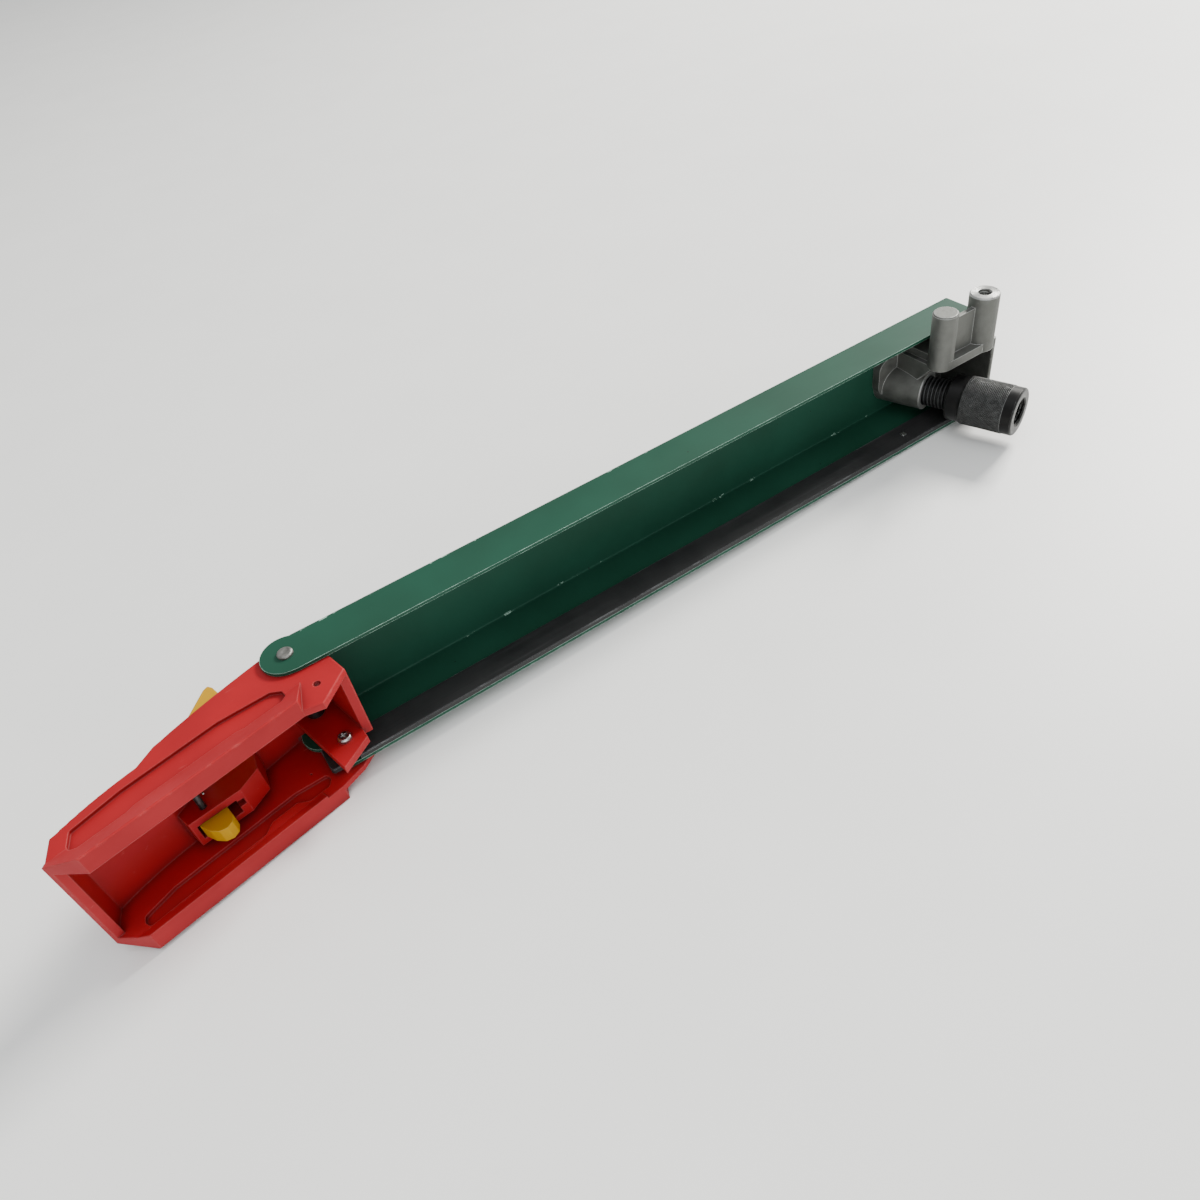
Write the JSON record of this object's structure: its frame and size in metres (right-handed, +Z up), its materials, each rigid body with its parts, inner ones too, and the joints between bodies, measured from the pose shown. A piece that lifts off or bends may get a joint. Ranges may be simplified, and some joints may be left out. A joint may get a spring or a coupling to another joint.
{
  "type": "tile cutter guide arm",
  "caption": "Lever-operated guide arm of a tile cutter: folded steel channel with a pull bar, swinging moulded handle with latch, cast end bracket and knurled clamp screw.",
  "frame": {"origin": "underside of the channel's bottom flange, half way along the channel and in line with the handle's pivot", "axes": "+X along the channel away from the handle, +Y towards the web at the back, +Z up"},
  "size_m": [0.6181, 0.0958, 0.0952],
  "materials": {
    "green_paint": "semi-gloss enamel on folded sheet steel",
    "black_steel": "satin black paint, worn along the front edge",
    "plated_steel": "zinc plated, slightly dulled",
    "dark_steel": "dark drawn steel",
    "spring_steel": "drawn spring wire",
    "cast_aluminium": "as die cast, matt grey",
    "red_moulding": "injection moulded, soft sheen",
    "yellow_moulding": "injection moulded, smooth",
    "blackened_steel": "turned, knurled and chemically blackened"
  },
  "bodies": {
    "frame": {"channel": "green_paint", "pivot_pin": "plated_steel", "pivot_washer": "plated_steel", "bar_guide_rivet": "plated_steel", "end_bracket": "cast_aluminium", "bracket_screws": "plated_steel", "bracket_washers": "plated_steel"},
    "handle": {"handle_shell": "red_moulding", "pivot_bush": "dark_steel", "crank_screw": "plated_steel", "crank_washer": "plated_steel", "crank_nut": "plated_steel", "latch_pin": "dark_steel", "latch_spring": "spring_steel"},
    "bar": {"pull_bar": "black_steel", "bar_button": "plated_steel"},
    "latch": {"latch_lever": "yellow_moulding"},
    "pad": {"swivel_pad": "dark_steel"},
    "knob": {"clamp_screw": "blackened_steel", "knurled_knob": "blackened_steel", "knob_grub_screw": "blackened_steel"}
  },
  "joints": [
    {"name": "handle_swing", "type": "hinge", "parent": "frame", "child": "handle", "pos_m": [-0.244, 0, 0.03], "axis": [0, 0, 1], "range_deg": [-11.4, 25]},
    {"name": "bar_slide", "type": "slide", "parent": "frame", "child": "bar", "axis": [1, 0, 0], "range_m": [-0.0055, 0.012]},
    {"name": "latch_turn", "type": "hinge", "parent": "handle", "child": "latch", "pos_m": [-0.31339, -0.02521, 0.0125], "axis": [0, 0, 1], "range_deg": [-8, 0], "stiffness_Nm_per_rad": 0.08, "springref_deg": 2.86},
    {"name": "clamp_feed", "type": "slide", "parent": "frame", "child": "pad", "axis": [-0.3256, 0.9455, 0], "range_m": [-0.005, 0.015]},
    {"name": "clamp_turn", "type": "hinge", "parent": "pad", "child": "knob", "pos_m": [0.2007, -0.0146, 0.022], "axis": [-0.3256, 0.9455, 0], "range_deg": [-720, 2160]}
  ],
  "couplings": [
    {"joint": "bar_slide", "follows": "handle_swing", "m_per_rad": 0.0272},
    {"joint": "clamp_feed", "follows": "clamp_turn", "m_per_rad": 0.00039789}
  ]
}
